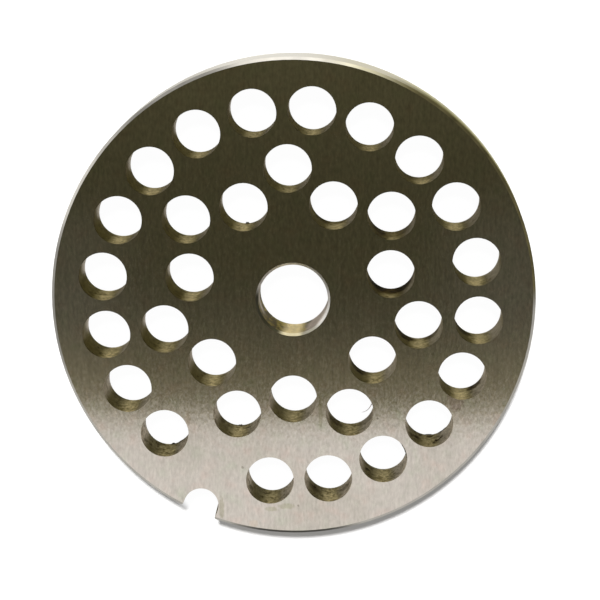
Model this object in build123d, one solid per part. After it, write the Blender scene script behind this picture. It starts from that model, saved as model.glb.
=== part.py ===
from build123d import *
import os

# Meat grinder plate: one disc of hardened steel, turned, keyed, drilled through and face ground.
# All lengths are in millimetres. The bore's axis is +Z, the disc lies on its back face at z = 0,
# its knife face is at the top, and the key notch faces -Y.

# Disc, as it comes off the lathe
plate_diameter = 70.0
plate_thickness = 7.5
rim_bevel = 0.4

# Bore for the feed screw's stud
bore_diameter = 10.1
bore_bevel = 0.35

# Key notch: a slot with a round end that drops over the pin in the grinder's head
notch_width = 5.1
notch_depth = 3.85
notch_lip_radius = 0.3

# Meat holes: three rings about one centre, each evenly divided. The outer ring is divided into
# one place more than it has holes.
hole_diameter = 7.0
inner_pitch_diameter = 29.8
inner_hole_count = 7
middle_pitch_diameter = 37.8
middle_hole_count = 7
outer_pitch_diameter = 54.7
outer_place_count = 20

# The drilling jig sat a little off the bore, and was turned a little past the notch
jig_shift = -0.38
jig_turn = -0.73

# Direction of the notch, in degrees from +X
notch_angle = -90.0


def turned_blank():
    """The disc with its bore, and a bevel on each turned edge."""
    rim = plate_diameter / 2
    bore = bore_diameter / 2
    section = [
        (bore + bore_bevel, 0),
        (rim - rim_bevel, 0),
        (rim, rim_bevel),
        (rim, plate_thickness - rim_bevel),
        (rim - rim_bevel, plate_thickness),
        (bore + bore_bevel, plate_thickness),
        (bore, plate_thickness - bore_bevel),
        (bore, bore_bevel),
    ]
    with BuildPart() as blank:
        with BuildSketch(Plane.XZ):
            with BuildLine():
                Polyline(*section, close=True)
            make_face()
        revolve(axis=Axis.Z)
    return blank.part


def keyed_outline():
    """A full disc with the key notch cut into it, and the notch's two lips rounded."""
    rim = plate_diameter / 2
    slot_centre = rim - notch_depth + notch_width / 2
    with BuildSketch() as outline:
        Circle(rim)
        with Locations((slot_centre, 0)):
            Circle(notch_width / 2, mode=Mode.SUBTRACT)
            Rectangle(rim, notch_width, align=(Align.MIN, Align.CENTER), mode=Mode.SUBTRACT)
        lips = outline.vertices().sort_by_distance((rim, 0))[:2]
        fillet(lips, radius=notch_lip_radius)
    return Rot(0, 0, notch_angle) * outline.sketch


def ring_of_places(pitch_diameter, count, first_angle):
    """Evenly spaced hole centres, the first of them at first_angle from +X."""
    jig_centre = Pos(jig_shift, 0)
    out_to_ring = Pos(pitch_diameter / 2, 0)
    turns = [first_angle + i * 360 / count for i in range(count)]
    return [jig_centre * Rot(0, 0, turn) * out_to_ring for turn in turns]


def meat_hole_places():
    """The three rings. The outer ring's first place, over the notch, stays undrilled."""
    notch_line = notch_angle + jig_turn
    inner = ring_of_places(inner_pitch_diameter, inner_hole_count, notch_line + 180 / inner_hole_count)
    middle = ring_of_places(middle_pitch_diameter, middle_hole_count, notch_line)
    outer = ring_of_places(outer_pitch_diameter, outer_place_count, notch_line)
    return inner + middle + outer[1:]


def grinder_plate():
    """Blank, then the notch, then the holes drilled straight through."""
    plate = turned_blank() & extrude(keyed_outline(), plate_thickness)
    drill = Cylinder(hole_diameter / 2, 2 * plate_thickness)
    drilled = plate - [place * drill for place in meat_hole_places()]
    drilled.label = "grinder_plate"
    return drilled


os.makedirs("parts", exist_ok=True)
export_step(grinder_plate(), "parts/grinder_plate.step")
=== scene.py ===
import math
import random

import bpy
from mathutils import Matrix, Vector


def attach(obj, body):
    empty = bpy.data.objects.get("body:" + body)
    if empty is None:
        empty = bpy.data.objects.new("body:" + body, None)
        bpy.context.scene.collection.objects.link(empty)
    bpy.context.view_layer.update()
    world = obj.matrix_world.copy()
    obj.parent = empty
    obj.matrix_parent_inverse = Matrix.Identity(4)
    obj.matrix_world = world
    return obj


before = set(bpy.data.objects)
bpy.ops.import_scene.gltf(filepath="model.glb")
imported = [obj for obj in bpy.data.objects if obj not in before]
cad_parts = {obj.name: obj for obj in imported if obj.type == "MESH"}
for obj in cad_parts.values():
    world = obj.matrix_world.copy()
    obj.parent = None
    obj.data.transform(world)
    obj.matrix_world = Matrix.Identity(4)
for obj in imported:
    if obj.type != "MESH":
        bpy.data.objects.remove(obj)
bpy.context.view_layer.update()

# Ground faces: the two flat sides of one disc of hardened steel. The disc passes straight under
# the wheel of a surface grinder, so fine lines run across both faces in one direction, and
# the knife then laps them to a near mirror along those lines.
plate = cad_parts["grinder_plate"]
mm = 0.001
plate_thickness = 7.5
grind_along = (0.4074, -0.9132)
grind_across = (0.9132, 0.4074)
bare_steel = (0.615, 0.568, 0.512, 1.0)
dull_steel = (0.540, 0.497, 0.432, 1.0)
rosy_steel = (0.66, 0.50, 0.44, 1.0)
greenish_steel = (0.50, 0.55, 0.42, 1.0)
green_brown = (0.30, 0.29, 0.14, 1.0)
dark_rust = (0.10, 0.08, 0.05, 1.0)

# Old stains on the front face: centre across and along the grinding lines, half width, half
# height, how strong it is, and its colour.
face_stains = [
    (23.5, 14.9, 1.3, 2.0, 0.38, (0.40, 0.26, 0.25, 1.0)),
    (-3.4, 31.3, 1.2, 0.45, 0.36, green_brown),
    (-1.2, 30.9, 1.7, 0.45, 0.30, green_brown),
    (-10.7, 31.2, 0.5, 1.8, 0.34, green_brown),
    (-15.5, 17.8, 0.5, 1.6, 0.36, (0.36, 0.26, 0.16, 1.0)),
    (3.9, 16.4, 0.40, 2.6, 0.36, green_brown),
    (9.3, -3.4, 0.9, 0.5, 0.35, (0.90, 0.80, 0.70, 1.0)),
    (-6.0, 33.5, 0.8, 0.6, 0.26, (0.66, 0.48, 0.36, 1.0)),
    (-7.58, 25.04, 0.22, 0.24, 0.42, dark_rust),
    (0.59, 30.78, 0.22, 0.22, 0.45, dark_rust),
    (12.19, 17.63, 0.24, 0.22, 0.45, dark_rust),
]


class Value:
    """A number that changes over a surface. Arithmetic on it adds the Math nodes."""

    def __init__(self, tree, socket):
        self.tree = tree
        self.socket = socket

    def math(self, operation, *terms):
        node = self.tree.nodes.new("ShaderNodeMath")
        node.operation = operation
        for socket, term in zip(node.inputs, terms):
            feed(socket, term)
        return Value(self.tree, node.outputs[0])

    def __add__(self, other):
        return self.math("ADD", self, other)

    def __sub__(self, other):
        return self.math("SUBTRACT", self, other)

    def __rsub__(self, other):
        return self.math("SUBTRACT", other, self)

    def __mul__(self, other):
        return self.math("MULTIPLY", self, other)

    def __truediv__(self, other):
        return self.math("DIVIDE", self, other)

    def __pow__(self, other):
        return self.math("POWER", self, other)

    def __abs__(self):
        return self.math("ABSOLUTE", self)

    __radd__ = __add__
    __rmul__ = __mul__


def feed(socket, term):
    """Sets a socket to a plain number or colour, or links a Value to it."""
    if isinstance(term, Value):
        term.tree.links.new(term.socket, socket)
    else:
        socket.default_value = term


class Finish:
    """The node tree of one finish, built by adding nodes and then the surface."""

    def __init__(self, name):
        self.material = bpy.data.materials.new(name)
        self.material.use_nodes = True
        self.tree = self.material.node_tree
        self.tree.nodes.clear()

    def node(self, kind, settings, sockets, output=0):
        """Adds a node, sets it up, feeds its sockets and gives one of its outputs."""
        node = self.tree.nodes.new("ShaderNode" + kind)
        for name, setting in settings.items():
            setattr(node, name, setting)
        for name, term in sockets.items():
            feed(node.inputs[name], term)
        return Value(self.tree, node.outputs[output]) if node.outputs else None

    def parts(self, vector):
        """X, Y and Z of a vector."""
        return [self.node("SeparateXYZ", {}, {0: vector}, axis) for axis in "XYZ"]

    def place(self):
        """X, Y and Z on the part, in millimetres."""
        return [part / mm for part in self.parts(self.node("TexCoord", {}, {}, "Object"))]

    def vector(self, x, y, z=0.0):
        return self.node("CombineXYZ", {}, {0: x, 1: y, 2: z})

    def noise(self, vector, scale=1.0, detail=2.0, roughness=0.5):
        """Random hills between -0.5 and 0.5, one to a unit of the vector at scale 1."""
        sockets = {"Vector": vector, "Scale": scale, "Detail": detail, "Roughness": roughness}
        return self.node("TexNoise", {}, sockets) - 0.5

    def step(self, value, low, high):
        """0 below low, 1 above high, and a smooth rise between."""
        sockets = {"Value": value, "From Min": low, "From Max": high}
        return self.node("MapRange", {"interpolation_type": "SMOOTHSTEP"}, sockets)

    def blend(self, mask, below, above):
        """The colour below where the mask is 0, and the one above where it is 1."""
        return self.node("Mix", {"data_type": "RGBA"}, {0: mask, 6: below, 7: above}, 2)

    def shade(self, colour, amount):
        """The colour, made lighter or darker by the amount."""
        return self.node("VectorMath", {"operation": "SCALE"}, {0: colour, "Scale": amount})

    def bump(self, height, depth, normal=None):
        """Hills of this depth, in millimetres, for a height that runs from -0.5 to 0.5."""
        sockets = {"Height": height, "Distance": depth * mm}
        if normal is not None:
            sockets["Normal"] = normal
        return self.node("Bump", {}, sockets)

    def metal(self, colour, roughness, normal, edge=(1.0, 1.0, 1.0, 1.0)):
        """Bare or filmed metal, with the tint that it takes where it is seen at a slant."""
        surface = {"Base Color": colour, "Roughness": roughness, "Metallic": 1.0, "Normal": normal}
        surface["Specular Tint"] = edge
        return self.node("BsdfPrincipled", {}, surface)

    def made(self, shader):
        """The finished material, once its surface is joined to the output."""
        self.node("OutputMaterial", {}, {"Surface": shader})
        return self.material


def on_grind(x, y):
    """The distances along the grinding lines and across them."""
    return x * grind_along[0] + y * grind_along[1], x * grind_across[0] + y * grind_across[1]


def ground_face():
    finish = Finish("ground_face")
    x, y, z = finish.place()
    along, across = on_grind(x, y)
    grain = finish.noise(finish.vector(across * 2.9, along * 1.1), detail=2.0, roughness=0.5)
    line = finish.noise(finish.vector(across * 1.7, along * 0.16, 7.0), detail=2.0)
    sweep = finish.noise(finish.vector(across * 0.45, along * 0.05, 3.0), detail=3.0)
    worn = finish.noise(finish.vector(x * 0.10, y * 0.10, 11.0), detail=3.0)
    oily = finish.noise(finish.vector(x * 0.40, y * 0.40, 23.0), detail=2.0)
    crisp = 0.46 + (1.0 - finish.step(along, -6.0, 14.0)) * 0.24
    tone = 1.0 + grain * crisp + line * 0.30 + sweep * 0.10 + worn * 0.06
    colour = finish.blend(finish.step(worn, -0.1, 0.35), bare_steel, dull_steel)
    colour = finish.blend(finish.step(oily, 0.0, 0.3) * 0.35, colour, rosy_steel)
    colour = finish.blend(finish.step(oily, 0.0, -0.3) * 0.35, colour, greenish_steel)
    top = finish.step(z, plate_thickness - 0.5, plate_thickness - 0.3)
    for right, down, wide, tall, strength, tint in face_stains:
        ring = ((across - right) / wide) ** 2.0 + ((along - down) / tall) ** 2.0
        mask = (1.0 - finish.step(ring + grain * 1.5 + oily * 1.5, 0.2, 1.0)) * top * strength
        colour = finish.blend(mask, colour, tint)
    colour = finish.shade(colour, tone)
    speck = finish.noise(finish.vector(across * 3.0, along * 2.0, 31.0), detail=2.0)
    roughness = 0.059 + line * 0.02 + worn * 0.01 + speck * 0.09
    normal = finish.bump(grain, 0.0016, finish.bump(line, 0.002))
    return finish.made(finish.metal(colour, roughness, normal))


# Turned rim: the disc's edge, finished in the lathe. The rim slides into the ring of the
# grinder, which rubs it bright; one stretch of it is still under a film of burnt oil. The
# lighter crown at the head of the rim is a painted highlight.
rim_reach = 34.5
rubbed_rim = (0.50, 0.475, 0.43, 1.0)
upper_half_rim = (0.58, 0.55, 0.475, 1.0)
darker_band_rim = (0.34, 0.315, 0.25, 1.0)
yellow_rim = (0.50, 0.455, 0.27, 1.0)
painted_crown_highlight = (0.74, 0.71, 0.64, 1.0)
fresh_oil = (0.50, 0.475, 0.31, 1.0)
burnt_oil = (0.180, 0.165, 0.070, 1.0)
bevel_oil = (0.185, 0.160, 0.075)
bevel_steel = (1.0, 0.96, 0.87, 1.0)
bevel_yellow = (0.88, 0.82, 0.56, 1.0)


def on_rim(x, y):
    """How far a place on the rim lies towards the head of the plate, and to its right."""
    reach = (x * x + y * y) ** 0.5
    along, across = on_grind(x, y)
    return along / reach * -1.0, across / reach


def oil_film(finish, colour, normal):
    """A dull dry film over the steel, with no shine of its own."""
    surface = {"Base Color": colour, "Roughness": 0.6, "Specular IOR Level": 0.0, "Normal": normal}
    return finish.node("BsdfPrincipled", {}, surface)


def turned_rim():
    finish = Finish("turned_rim")
    x, y, z = finish.place()
    head, side = on_rim(x, y)
    ring = finish.noise(finish.vector(0.0, 0.0, z * 9.0), detail=2.0)
    patch = finish.noise(finish.vector(x * 0.15, y * 0.15, z * 0.4), detail=3.0)
    # The upper half of the rim is a lighter tone than the lower half.
    upper_half = finish.step(z + patch * 0.5, 3.4, 3.9)
    # A darker band on the left of the rim.
    darker_band = 1.0 - finish.step(abs(side + 0.41), 0.09, 0.22)
    yellow = finish.step(side + patch * 0.1, -0.06, 0.28) * 0.9
    # The crown at the head of the rim is painted lighter: a painted highlight.
    painted_crown = finish.step(head, 0.90, 0.99) * (1.0 - yellow)
    bright = finish.blend(upper_half, rubbed_rim, upper_half_rim)
    bright = finish.blend(darker_band * finish.step(z, 1.5, 6.5), bright, darker_band_rim)
    bright = finish.blend(yellow * finish.step(head, -0.2, 0.1), bright, yellow_rim)
    bright = finish.blend(painted_crown, bright, painted_crown_highlight)
    bright = finish.shade(bright, 1.0 + ring * 0.45 + patch * 0.30)
    normal = finish.bump(ring, 0.006)
    steel = finish.metal(bright, 0.30 + patch * 0.1, normal, (1.0, 0.98, 0.92, 1.0))
    film = finish.blend(finish.step(z + patch, 1.5, 6.0), fresh_oil, burnt_oil)
    film = finish.shade(film, 1.0 + ring * 0.3 + patch * 0.8)
    oil = oil_film(finish, film, normal)
    oiled = finish.step(side + patch * 0.12, 0.32, 0.58) * finish.step(head, -0.06, 0.06)
    return finish.made(finish.node("MixShader", {}, {0: oiled, 1: steel, 2: oil}))


def rim_bevel():
    finish = Finish("rim_bevel")
    x, y, z = finish.place()
    head, side = on_rim(x, y)
    patch = finish.noise(finish.vector(x * 0.30, y * 0.30, z * 0.3), detail=3.0)
    # The bevel's tone round the plate is partly painted light: a painted highlight at the head and
    # on the left, painted shade at the far left, and a painted shadow at the foot, where the plate
    # meets the floor. Its yellow tint and the oil on its right are its own colour.
    upper = finish.step(head, 0.0, 0.2)
    painted_crown = finish.step(head + side * 0.25, 0.86, 1.0)
    painted_crown = painted_crown * (1.0 - finish.step(side, 0.24, 0.40) * 0.4)
    left = (1.0 - finish.step(abs(side + 0.86), 0.03, 0.11)) * upper
    painted_shade_far_left = finish.step(side * -1.0, 0.93, 0.99)
    # A darker band on the left of the bevel, towards its head.
    darker_band = (1.0 - finish.step(abs(side + 0.50), 0.14, 0.26)) * upper
    oiled = finish.step(side, 0.30, 0.50) * finish.step(head, -0.06, 0.06)
    foot = finish.step(head * -1.0, 0.950, 0.995)
    tone = 0.42 + painted_crown * 0.49 + left * 0.18 - painted_shade_far_left * 0.15
    tone = tone * (1.0 - foot * 0.90) * (1.0 - darker_band * 0.38)
    yellow = finish.step(side, 0.05, 0.35) * upper
    colour = finish.blend(yellow, bevel_steel, bevel_yellow)
    colour = finish.shade(colour, tone * (1.0 + patch * 0.7))
    normal = finish.bump(patch, 0.01)
    steel = finish.metal(colour, 0.30 + patch * 0.1, normal, (0.8, 0.78, 0.72, 1.0))
    burnt = finish.step(side, 0.46, 0.62) * 0.50 - finish.step(side, 0.78, 0.88) * 0.25
    oil = oil_film(finish, finish.shade(bevel_oil, 1.0 + patch * 1.2 - burnt), normal)
    return finish.made(finish.node("MixShader", {}, {0: oiled, 1: steel, 2: oil}))


# Drilled meat holes: thirty-three straight holes in three rings, drilled through a jig that sat
# a little off the middle. They are rough from the drill, with a dark film of old fat and rust
# burnt on by hardening. The gold streak on the foot side of each hole is a painted highlight,
# and the right sides of the walls and the mouths of the holes towards the foot are painted
# lighter, as painted light.
jig_shift = -0.38
jig_turn = -0.73
jig_start = math.radians(jig_turn - 90.0)
hole_radius = 3.5
painted_gold_streak = (0.67, 0.58, 0.34)

# Each ring of holes: its radius, how many places it is divided into, the bearing of the first
# place, and the places that are drilled. The outer ring skips the place over the notch.
rings = {
    "inner": (14.9, 7, jig_start + math.pi / 7, range(7)),
    "middle": (18.9, 7, jig_start, range(7)),
    "outer": (27.35, 20, jig_start, range(1, 20)),
}


def hole_middle(ring, number):
    """The middle of one hole, in millimetres from the middle of the plate."""
    pitch_radius, count, first = rings[ring][:3]
    bearing = first + number * 2.0 * math.pi / count
    return Vector((jig_shift + pitch_radius * math.cos(bearing), pitch_radius * math.sin(bearing)))


def on_bearing(bearing):
    """The way out from a hole's middle, for a bearing in degrees from the foot of the plate."""
    bearing = math.radians(bearing)
    return Vector(grind_along) * math.cos(bearing) + Vector(grind_across) * math.sin(bearing)


# Dark spots on the walls, some burnt fat and some painted shade: the hole's number, the
# bearing, height and size of the spot, and how much it darkens the wall.
burnt_spots_and_shade = {
    "inner": [
        (1, -34.0, 2.4, 0.7, 0.7),
        (1, -38.0, 1.4, 2.2, 0.5),
        (2, 5.0, 0.8, 5.4, 0.85),
        (2, 0.0, 6.5, 3.4, 0.30),
        (3, -5.0, 0.4, 3.6, 0.5),
    ],
    "middle": [
        (0, 22.0, 2.4, 0.5, 0.7),
        (1, -45.0, 2.0, 2.2, 0.4),
        (1, 45.0, 2.0, 2.2, 0.4),
        (2, -38.0, 3.0, 0.8, 0.7),
        (2, -35.0, 1.4, 2.6, 0.6),
        (2, 36.0, 1.0, 2.2, 0.55),
        (3, 0.0, 1.6, 4.6, 0.55),
        (3, 0.0, 6.0, 3.4, 0.25),
    ],
    "outer": [
        (1, -14.0, 2.2, 0.6, 0.6),
        (2, -40.0, 3.0, 1.8, 0.4),
        (2, 45.0, 3.0, 1.6, 0.4),
        (3, -40.0, 3.4, 0.7, 0.6),
        (4, 12.0, 5.2, 0.5, 0.8),
        (4, 20.0, 4.3, 0.7, 0.8),
        (4, 31.0, 3.5, 0.5, 0.8),
        (4, -30.0, 3.4, 0.8, 0.6),
        (4, 2.0, 1.2, 0.7, 0.7),
        (5, 36.0, 1.2, 1.9, 0.7),
        (6, -42.0, 1.8, 2.2, 0.6),
        (9, 0.0, 1.2, 3.4, 0.35),
        (19, 2.0, 3.0, 0.5, 0.6),
    ],
}


def drilled_wall(ring):
    finish = Finish("drilled_wall_" + ring)
    pitch_radius, count, first = rings[ring][:3]
    x, y, z = finish.place()
    spacing = 2.0 * math.pi / count
    bearing = x.math("ARCTAN2", y, x - jig_shift)
    bearing = x.math("ROUND", (bearing - first) / spacing) * spacing + first
    middle_x = x.math("COSINE", bearing) * pitch_radius + jig_shift
    middle_y = x.math("SINE", bearing) * pitch_radius
    toward, side = on_grind((x - middle_x) / hole_radius, (y - middle_y) / hole_radius)
    down = on_grind(middle_x, middle_y)[0]
    foot = finish.step(down, 0.0, 22.0)
    lean = finish.noise(finish.vector(middle_x * 0.61, middle_y * 0.61, 3.3), detail=0.0)
    luck = finish.noise(finish.vector(middle_x * 0.53, middle_y * 0.53, 8.7), detail=0.0)
    mottle = finish.noise(finish.vector(x * 0.9, y * 0.9, z * 0.9), detail=4.0, roughness=0.6)
    blot = finish.noise(finish.vector(x * 0.85, y * 0.85, z * 0.6 + 40.0), detail=2.0, roughness=0.6)
    grit = finish.noise(finish.vector(x * 2.4, y * 2.4, z * 1.8), detail=3.0, roughness=0.6)
    ring_mark = finish.noise(finish.vector(x * 0.4, y * 0.4, z * 2.6), detail=3.0)
    # A gold streak down the foot side of each hole: a painted highlight, fading towards the bottom.
    streak = abs(side - 0.03 + lean * 0.35 + mottle * 0.50)
    painted_streak = (1.0 - finish.step(streak, 0.02, 0.54)) * finish.step(toward, 0.0, 0.3)
    painted_streak = painted_streak * (0.88 - foot * 0.20 + luck * 0.9 + grit * 0.8 + blot * 0.8)
    # The right side of each wall is painted lighter than its left: painted light over the film's own
    # tone.
    painted_lit_right = finish.step(side, 0.15, 0.75)
    flank = 1.0 - finish.step(toward + grit * 0.3, 0.05 + foot * 0.15, 0.45 + foot * 0.30)
    deep = 1.0 - finish.step(z + mottle * 1.5 + toward * 7.0, 0.8, 4.6)
    deep = deep * (1.0 - painted_lit_right * (1.0 - foot) * 0.5)
    waist = finish.step(down, -12.0, 2.0) * (1.0 - finish.step(down, 8.0, 16.0))
    left_film = finish.blend(foot, (0.130, 0.120, 0.068, 1.0), (0.158, 0.145, 0.098, 1.0))
    right_film = finish.blend(foot, (0.29, 0.265, 0.215, 1.0), (0.42, 0.38, 0.315, 1.0))
    film = finish.blend(painted_lit_right, left_film, right_film)
    near = finish.blend(foot, (0.160, 0.145, 0.102, 1.0), (0.56, 0.50, 0.42, 1.0))
    film = finish.blend(flank, film, finish.blend(deep, near, (0.50, 0.465, 0.41, 1.0)))
    streak_fade = 1.0 - (1.0 - finish.step(z, 1.0, 5.0)) * 0.28
    colour = finish.blend(painted_streak, film, finish.shade(painted_gold_streak, streak_fade))
    pits = finish.step(mottle + grit * 0.8, 0.05, 0.18) * (1.0 - flank * 0.6)
    burnt = finish.step(blot + grit * 0.35, 0.05, 0.15) * (0.16 + foot * 0.44)
    lip = finish.step(z, 6.5, 7.4) * (1.0 - foot) * 0.25
    back = (1.0 - finish.step(z + blot * 3.0, 1.0, 2.6)) * (1.0 - flank) * (1.0 - painted_lit_right * 0.6)
    back = back * (0.04 + foot * 0.12)
    tone = 1.12 + mottle * 1.8 + blot * 0.9 + grit * 3.0 + ring_mark * 0.8
    tone = tone + waist * (painted_lit_right * 0.20 + flank * 0.20)
    # The mouths of the holes towards the foot are painted lighter: painted light.
    painted_lit_mouth = 1.0 + finish.step(z, 5.6, 7.3) * foot * (0.15 + painted_lit_right * 0.25)
    tone = tone * (1.0 - pits * 0.50) * (1.0 - back) * (1.0 - burnt) * (1.0 - lip) * painted_lit_mouth
    # Dark spots on the walls: some are burnt fat, some painted shade.
    for number, bearing, level, size, depth in burnt_spots_and_shade[ring]:
        spot = hole_middle(ring, number) + on_bearing(bearing) * hole_radius
        away = ((x - spot.x) ** 2.0 + (y - spot.y) ** 2.0 + (z - level) ** 2.0) ** 0.5
        burn_or_shade = 1.0 - finish.step(away + grit * 0.9, size * 0.5, size)
        tone = tone * (1.0 - burn_or_shade * depth)
    colour = finish.shade(colour, tone)
    roughness = 0.55 + mottle * 0.2
    normal = finish.bump(ring_mark, 0.05, finish.bump(grit, 0.06, finish.bump(mottle, 0.08)))
    return finish.made(finish.metal(colour, roughness, normal, (0.30, 0.27, 0.20, 1.0)))


# Reamed bore: the middle hole, reamed to size after drilling, so that the feed screw's stud
# turns in it. It is smoother than the meat holes, and its mouth is bevelled. It is painted
# brighter than they are: the gold streak on its foot side, its lighter right side and the shine
# and shadow on that side are painted light.
bore_reach = 5.6
black_film = (0.048, 0.042, 0.024, 1.0)
olive_film = (0.27, 0.225, 0.065, 1.0)
head_film = (0.23, 0.205, 0.155, 1.0)
painted_lit_grey = (0.42, 0.365, 0.335, 1.0)
side_film = (0.215, 0.188, 0.172, 1.0)
painted_shine = (0.84, 0.78, 0.74, 1.0)
flank_film = (0.48, 0.44, 0.38, 1.0)
painted_shadow = (0.085, 0.088, 0.064, 1.0)
painted_gold_highlight = (0.90, 0.77, 0.44, 1.0)
specked_gold_highlight = (0.42, 0.27, 0.12, 1.0)


def reamed_bore():
    finish = Finish("reamed_bore")
    x, y, z = finish.place()
    head, side = on_rim(x, y)
    toward = head * -1.0
    mottle = finish.noise(finish.vector(x * 0.7, y * 0.7, z * 0.5), detail=4.0, roughness=0.6)
    grit = finish.noise(finish.vector(x * 1.8, y * 1.8, z * 1.2), detail=3.0, roughness=0.6)
    ring_mark = finish.noise(finish.vector(x * 0.3, y * 0.3, z * 4.0), detail=3.0)
    # A gold streak down the foot side of the bore: a painted highlight, with real brown specks on
    # it.
    painted_streak = 1.0 - finish.step(abs(side + mottle * 0.25), 0.12, 0.40)
    streak_gap = finish.step(side, -0.16, -0.30) * (1.0 - finish.step(z, 1.8, 4.0)) * 0.6
    painted_streak = painted_streak * finish.step(toward, 0.0, 0.3) * (1.0 - streak_gap)
    painted_lit_right = finish.step(side + mottle * 0.1, 0.26, 0.46)
    # A painted shadow in a narrow band on the right of the bore, low down.
    shadow = finish.step(side, 0.24, 0.34) * (1.0 - finish.step(side, 0.44, 0.58))
    shadow = shadow * (1.0 - finish.step(z + mottle * 2.5, 0.8, 3.0))
    flank = finish.step(side * -1.0, 0.78, 0.95) * (1.0 - finish.step(abs(z - 4.2), 0.4, 1.9))
    olive = finish.step(mottle + grit * 0.7, -0.01, 0.06)
    left_film = finish.blend(olive, black_film, olive_film)
    left_film = finish.blend(finish.step(toward, 0.1, -0.3), left_film, head_film)
    film = finish.blend(painted_lit_right, left_film, painted_lit_grey)
    film = finish.blend(finish.step(side, 0.84, 0.98), film, side_film)
    # A painted shine high up on the right of the bore.
    shine = finish.step(side, 0.62, 0.80) * (1.0 - finish.step(side, 0.90, 0.98))
    film = finish.blend(finish.step(z, 3.6, 6.8) * shine, film, painted_shine)
    film = finish.blend(flank, film, flank_film)
    film = finish.blend(shadow, film, painted_shadow)
    back = (1.0 - finish.step(z, 0.1, 1.2)) * (1.0 - painted_lit_right) * 0.5
    front = finish.step(z, 3.8, 6.4) * (1.0 - finish.step(side, -0.2, 0.1)) * 0.38
    film = finish.shade(film, 1.0 - back - front)
    spots = finish.step(grit + mottle * 0.4, 0.09, 0.18)
    gold = finish.blend(spots, painted_gold_highlight, specked_gold_highlight)
    colour = finish.blend(painted_streak, film, gold)
    colour = finish.shade(colour, 1.0 + mottle * 0.7 + grit * 0.8 + ring_mark * 0.2)
    roughness = 0.42 + mottle * 0.15
    normal = finish.bump(ring_mark, 0.03, finish.bump(mottle, 0.04))
    return finish.made(finish.metal(colour, roughness, normal, (0.5, 0.46, 0.38, 1.0)))


def bore_bevel():
    finish = Finish("bore_bevel")
    x, y, z = finish.place()
    head, side = on_rim(x, y)
    patch = finish.noise(finish.vector(x * 0.6, y * 0.6, z), detail=3.0)
    # The bevel's tone round the bore is painted light: a painted highlight on the foot side and on
    # the right, painted shade on the left, and a painted highlight round the head side.
    lit = 1.0 - finish.step(abs(side + 0.03 + patch * 0.1), 0.18, 0.44)
    white = finish.step(side, 0.52, 0.84)
    shaded_left = finish.step(side * -1.0 + head * 0.35, 0.62, 0.85)
    low = finish.blend(lit, (0.075, 0.070, 0.040, 1.0), (0.78, 0.70, 0.45, 1.0))
    low = finish.blend(finish.step(side, 0.10, 0.40), low, (0.37, 0.35, 0.28, 1.0))
    low = finish.blend(white, low, (0.86, 0.83, 0.78, 1.0))
    low = finish.blend(shaded_left, low, (0.085, 0.080, 0.055, 1.0))
    colour = finish.blend(finish.step(head, 0.05, 0.45), low, (0.78, 0.75, 0.68, 1.0))
    colour = finish.shade(colour, 1.0 + patch * 0.8)
    normal = finish.bump(patch, 0.01)
    return finish.made(finish.metal(colour, 0.30 + patch * 0.1, normal, (0.8, 0.76, 0.68, 1.0)))


# Keyed notch: milled into the rim to hold the plate on the pin of the grinder's ring. Its
# walls are dull and dirty, because nothing slides on them.
notch_floor = -31.0
notch_reach = 3.5
black_dirt = (0.09, 0.08, 0.05, 1.0)
brown_dirt = (0.30, 0.27, 0.20, 1.0)


def milled_notch():
    finish = Finish("milled_notch")
    x, y, z = finish.place()
    stripe = finish.noise(finish.vector(x * 1.2, y * 1.2, z * 0.3), detail=3.0)
    dirt = finish.noise(finish.vector(x * 1.5, y * 1.5, z * 1.5), detail=4.0, roughness=0.6)
    colour = finish.blend(finish.step(dirt, -0.15, 0.15), black_dirt, brown_dirt)
    colour = finish.shade(colour, 1.0 + stripe * 0.8)
    normal = finish.bump(stripe, 0.03, finish.bump(dirt, 0.04))
    return finish.made(finish.metal(colour, 0.50 + dirt * 0.2, normal, (0.35, 0.32, 0.25, 1.0)))


# The whole plate: one disc of steel, whose every facet takes the finish of the tool that cut it
# last. A facet's place and slope tell which tool that was.
flat = 0.9
sloping = 0.3
outward_looking = 0.6
finishes = {
    "face": ground_face(),
    "rim": turned_rim(),
    "rim_bevel": rim_bevel(),
    "notch": milled_notch(),
    "bore": reamed_bore(),
    "bore_bevel": bore_bevel(),
    "inner": drilled_wall("inner"),
    "middle": drilled_wall("middle"),
    "outer": drilled_wall("outer"),
}
hole_middles = [(ring, hole_middle(ring, number)) for ring in rings for number in rings[ring][3]]
plate.data.materials.clear()
for material in finishes.values():
    plate.data.materials.append(material)
for facet in plate.data.polygons:
    place = facet.center.xy / mm
    outward = facet.normal.xy.dot(place.normalized())
    sloped = abs(facet.normal.z) > sloping
    if abs(facet.normal.z) > flat:
        part = "face"
    elif place.length > rim_reach and outward > outward_looking:
        part = "rim_bevel" if sloped else "rim"
    elif place.y < notch_floor and abs(place.x) < notch_reach:
        part = "notch"
    elif place.length < bore_reach:
        part = "bore_bevel" if sloped else "bore"
    else:
        part = min(hole_middles, key=lambda hole: (hole[1] - place).length)[0]
    facet.material_index = list(finishes).index(part)


# Drill burrs: torn lips of steel that the drill pushed out where it broke through, and that
# nobody filed off. Each is one with the plate, on the back edge of its hole but for one on the
# front edge.
tooth_degrees = 3.0
lip_sunk = 0.03
torn_black = (0.05, 0.045, 0.03, 1.0)
torn_brown = (0.16, 0.14, 0.09, 1.0)


def drill_burr():
    finish = Finish("drill_burr")
    x, y, z = finish.place()
    torn = finish.noise(finish.vector(x * 3.0, y * 3.0, z * 3.0), detail=3.0)
    colour = finish.blend(finish.step(torn, -0.1, 0.15), torn_black, torn_brown)
    normal = finish.bump(torn, 0.05)
    return finish.made(finish.metal(colour, 0.5 + torn * 0.2, normal, (0.3, 0.27, 0.2, 1.0)))


burr_finish = drill_burr()


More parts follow.
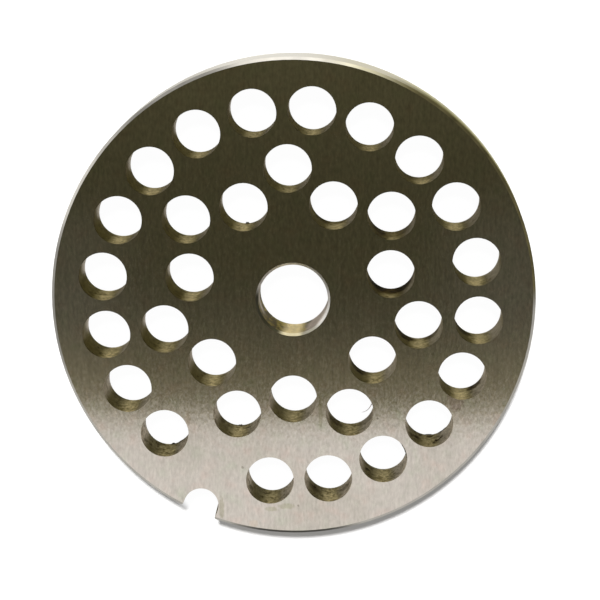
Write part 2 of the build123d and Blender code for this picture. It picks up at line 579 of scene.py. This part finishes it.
def burr_lip(name, middle, first, last, height, foot, thickness, torn):
    """A jagged ridge on a hole's wall, between two bearings from the plate's foot."""
    steps = max(6, int(abs(last - first) / tooth_degrees))
    teeth = random.Random(torn)
    points = []
    for step in range(steps + 1):
        share = step / steps
        out = on_bearing(first + (last - first) * share)
        rise = height * math.sin(math.pi * share) ** 0.6 * teeth.uniform(0.45, 1.0) + 0.02
        for reach, level in ((lip_sunk, 0.0), (-rise, 0.35), (-rise * 0.9, 0.6), (lip_sunk, 1.0)):
            spot = middle + out * (hole_radius + reach)
            points.append((spot.x * mm, spot.y * mm, (foot + level * thickness) * mm))
    sides = [(0, 1), (1, 2), (2, 3), (3, 0)]
    facets = []
    for corner in range(0, 4 * steps, 4):
        facets += [(corner + a, corner + 4 + a, corner + 4 + b, corner + b) for a, b in sides]
    facets += [(0, 1, 2, 3), (4 * steps + 3, 4 * steps + 2, 4 * steps + 1, 4 * steps)]
    lip = bpy.data.meshes.new(name)
    lip.from_pydata(points, [], facets)
    piece = bpy.data.objects.new(name, lip)
    bpy.context.scene.collection.objects.link(piece)
    piece.data.materials.append(burr_finish)
    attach(piece, "root")


# Each burr: its name, the ring and number of its hole, the two bearings it runs between, how far
# it stands out, the height of its lower edge, its thickness, and the seed of its teeth.
burrs = [
    ("burr_inner_5", "inner", 4, -2.0, 8.0, 0.30, 0.02, 0.5, 1),
    ("burr_middle_1", "middle", 0, -5.0, 6.0, 0.24, 0.02, 0.5, 2),
    ("burr_middle_1_low", "middle", 0, -16.0, 16.0, 0.08, 0.02, 0.4, 7),
    ("burr_outer_19", "outer", 19, 4.0, 16.0, 0.24, 0.02, 0.5, 3),
    ("burr_outer_19_long", "outer", 19, 10.0, 60.0, 0.12, 0.02, 0.6, 4),
    ("burr_outer_4", "outer", 4, -10.0, 12.0, 0.13, 0.02, 0.3, 5),
    ("burr_outer_4_side", "outer", 4, 24.0, 50.0, 0.10, 0.02, 0.3, 6),
    ("burr_outer_3_front", "outer", 3, 84.0, 134.0, 0.16, 7.24, 0.28, 8),
]
for name, ring, number, *lip in burrs:
    burr_lip(name, hole_middle(ring, number), *lip)


# Swarf curl: a thread of steel, a tenth of a millimetre thick, that the drill left behind. It is
# still caught by one end on a hole's wall.
thread_radius = 0.045
grey_swarf = (0.34, 0.33, 0.32, 1.0)
rosy_swarf = (0.72, 0.56, 0.56, 1.0)

# The thread's path from the middle of its hole: X, Y, height, and how thick it is there.
curl_path = [
    (2.95, 2.20, 3.6, 1.0),
    (2.78, 1.75, 3.5, 1.3),
    (2.78, 1.10, 3.3, 1.2),
    (2.62, 0.45, 3.2, 0.9),
    (2.36, 0.02, 3.0, 0.8),
    (1.98, -0.30, 2.9, 0.3),
]


def swarf_curl():
    finish = Finish("swarf_curl")
    x, y, z = finish.place()
    tint = finish.noise(finish.vector(x * 1.2, y * 1.2, z * 1.2), detail=2.0)
    colour = finish.blend(finish.step(tint, -0.15, 0.15), rosy_swarf, grey_swarf)
    return finish.made(finish.metal(colour, 0.4 + tint * 0.2, finish.bump(tint, 0.02)))


curl_line = bpy.data.curves.new("swarf_line", "CURVE")
curl_line.dimensions = "3D"
curl_line.bevel_depth = thread_radius * mm
curl_line.bevel_resolution = 2
curl_line.use_fill_caps = True
curl_spline = curl_line.splines.new("NURBS")
curl_spline.points.add(len(curl_path) - 1)
curl_middle = hole_middle("middle", 1)
for point, (out_x, out_y, level, width) in zip(curl_spline.points, curl_path):
    point.co = ((curl_middle.x + out_x) * mm, (curl_middle.y + out_y) * mm, level * mm, 1.0)
    point.radius = width
curl_spline.order_u = 3
curl_spline.use_endpoint_u = True
curl = bpy.data.objects.new("swarf_curl", curl_line)
bpy.context.scene.collection.objects.link(curl)
curl.data.materials.append(swarf_curl())
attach(curl, "root")

# Floor: a plain pale sheet that the plate lies on. A lamp over the head of the plate lights this
# sheet alone, and the plate keeps that light off a narrow strip of it beside the foot.
floor_width = 3000.0
floor_drop = 0.02
notch_middle = 33.0
corners = [(-0.5, -0.5), (0.5, -0.5), (0.5, 0.5), (-0.5, 0.5)]
floor_sheet = bpy.data.meshes.new("floor")
floor_corners = [(x * floor_width * mm, y * floor_width * mm, -floor_drop * mm) for x, y in corners]
floor_sheet.from_pydata(floor_corners, [], [(0, 1, 2, 3)])
floor = bpy.data.objects.new("floor", floor_sheet)
bpy.context.scene.collection.objects.link(floor)


def pale_paper():
    """White paper that looks white in steel too, and that is clear when seen from below."""
    finish = Finish("pale_paper")
    x, y = finish.place()[:2]
    from_middle = (x * x + y * y) ** 0.5
    from_notch = (x * x + (y + notch_middle) ** 2.0) ** 0.5
    # Under the plate and round the notch the sheet glows white to the camera: painted light that
    # hides the shade seen through the holes and the notch.
    glow_under_plate = 1.0 - finish.step(from_middle, 34.1, 34.4) * finish.step(from_notch, 3.6, 5.4)
    white = (1.0, 1.0, 1.0, 1.0)
    seen = finish.node("LightPath", {}, {}, "Is Camera Ray")
    shown = finish.node("LightPath", {}, {}, "Is Glossy Ray")
    clear = finish.node("LightPath", {}, {}, "Is Transmission Ray")
    surface = {"Base Color": (0.45, 0.45, 0.45, 1.0), "Roughness": 1.0, "Specular IOR Level": 0.0}
    sheet = finish.node("BsdfPrincipled", {}, surface)
    glow = finish.node("Emission", {}, {"Color": white, "Strength": 1.0})
    glowing = seen * (0.03 + glow_under_plate * 0.95) + (shown + clear) * 0.98
    both = finish.node("MixShader", {}, {0: glowing, 1: sheet, 2: glow})
    below = finish.node("NewGeometry", {}, {}, "Backfacing")
    through = finish.node("BsdfTransparent", {}, {})
    return finish.made(finish.node("MixShader", {}, {0: below, 1: both, 2: through}))


floor.data.materials.append(pale_paper())
lamp_height = math.radians(67.5)
toward_foot = Vector(grind_along) * math.cos(lamp_height)
beam = Vector((*toward_foot, -math.sin(lamp_height)))
floor_light = bpy.data.lights.new("floor_lamp", "SUN")
floor_light.energy = 7.5
floor_light.angle = math.radians(5.0)
floor_lamp = bpy.data.objects.new("floor_lamp", floor_light)
bpy.context.scene.collection.objects.link(floor_lamp)
floor_lamp.rotation_euler = beam.to_track_quat("-Z", "Y").to_euler()
lit_by_lamp = bpy.data.collections.new("lit_by_floor_lamp")
lit_by_lamp.objects.link(floor)
floor_lamp.light_linking.receiver_collection = lit_by_lamp

# Light: a plain pale room, a little brighter from one side. A dark board hangs overhead, and
# the near mirror of the plate shows that board at its head and the pale room at its foot.
board_black = (0.068, 0.0645, 0.0345)
room_white = (0.968, 0.957, 0.943)
board_edge_brown = (0.33, 0.23, 0.0, 1.0)
board_edge_tint = (1.01, 0.985, 0.80)
room = bpy.data.worlds.new("room")
room.use_nodes = True
bpy.context.scene.world = room


class Room(Finish):
    """The node tree of the world, built in the same way as a finish."""

    def __init__(self, world):
        self.tree = world.node_tree
        self.tree.nodes.clear()


light = Room(room)
x, y, z = light.parts(light.node("TexCoord", {}, {}, "Generated"))
along, across = on_grind(x, y)
off_middle = across + 0.02
rise = along + off_middle * off_middle * 0.30
early = light.step(rise, 0.170, 0.205)
slow = light.step(rise, 0.192, 0.252)
fast = light.step(rise, 0.2304, 0.2418)
sides = light.step(abs(across + 0.042), 0.050, 0.088) * light.step(along, 0.135, 0.165) * 0.036
overhead = light.step(z, 0.3, 0.5)
edge = 1.0 - early * 0.022 - slow * 0.178 - fast * 0.81 - sides * (1.0 - fast)
board = edge * light.step(along, -0.42, -0.32)
board = board * (1.0 - light.step(abs(across), 0.5, 0.65)) * overhead
dim = light.step(across, 0.25, 0.85) * 0.50
bright = light.step(across * -1.0, 0.20, 0.90) * 0.20
behind = light.step(along * -1.0, 0.40, 0.90) * 0.15
shaded_left = light.shade(room_white, 1.0 - dim + bright + behind)
lift = 1.0 + (1.0 - light.step(along, 0.06, 0.15)) * 0.5
sky = light.blend(board, shaded_left, light.shade(board_black, lift))
warm = slow * (1.0 - fast) * board
sky = light.blend(warm * 0.14, sky, board_edge_brown)
yellow = light.step(rise, 0.190, 0.222) * (1.0 - light.step(fast, 0.35, 1.0)) * overhead
tinted = light.node("VectorMath", {"operation": "MULTIPLY"}, {0: sky, 1: board_edge_tint})
sky = light.blend(yellow, sky, tinted)
seen = light.node("LightPath", {}, {}, "Is Camera Ray")
sky = light.blend(seen, sky, (1.0, 1.0, 1.0, 1.0))
backdrop = light.node("Background", {}, {"Color": sky, "Strength": 1.0})
light.node("OutputWorld", {}, {"Surface": backdrop})

# Camera: a long lens over the plate, a little towards its head, so that the walls on the foot
# side of every hole show.
eye = Vector((-13.7468, 64.3089, 345.4026)) * mm
aim = Vector((0.9633, 0.3552, 7.5)) * mm
upright = Vector((-0.400140, 0.897128, -0.187216))
view = bpy.data.cameras.new("camera")
view.sensor_width = 36.0
view.sensor_fit = "HORIZONTAL"
view.lens = 143.0494
view.clip_start = 0.01
view.clip_end = 10.0
camera = bpy.data.objects.new("camera", view)
bpy.context.scene.collection.objects.link(camera)
back = (eye - aim).normalized()
right = upright.cross(back).normalized()
turned = Matrix((right, back.cross(right), back)).transposed().to_4x4()
camera.matrix_world = Matrix.Translation(eye) @ turned
bpy.context.scene.camera = camera
bpy.context.scene.view_settings.view_transform = "Standard"
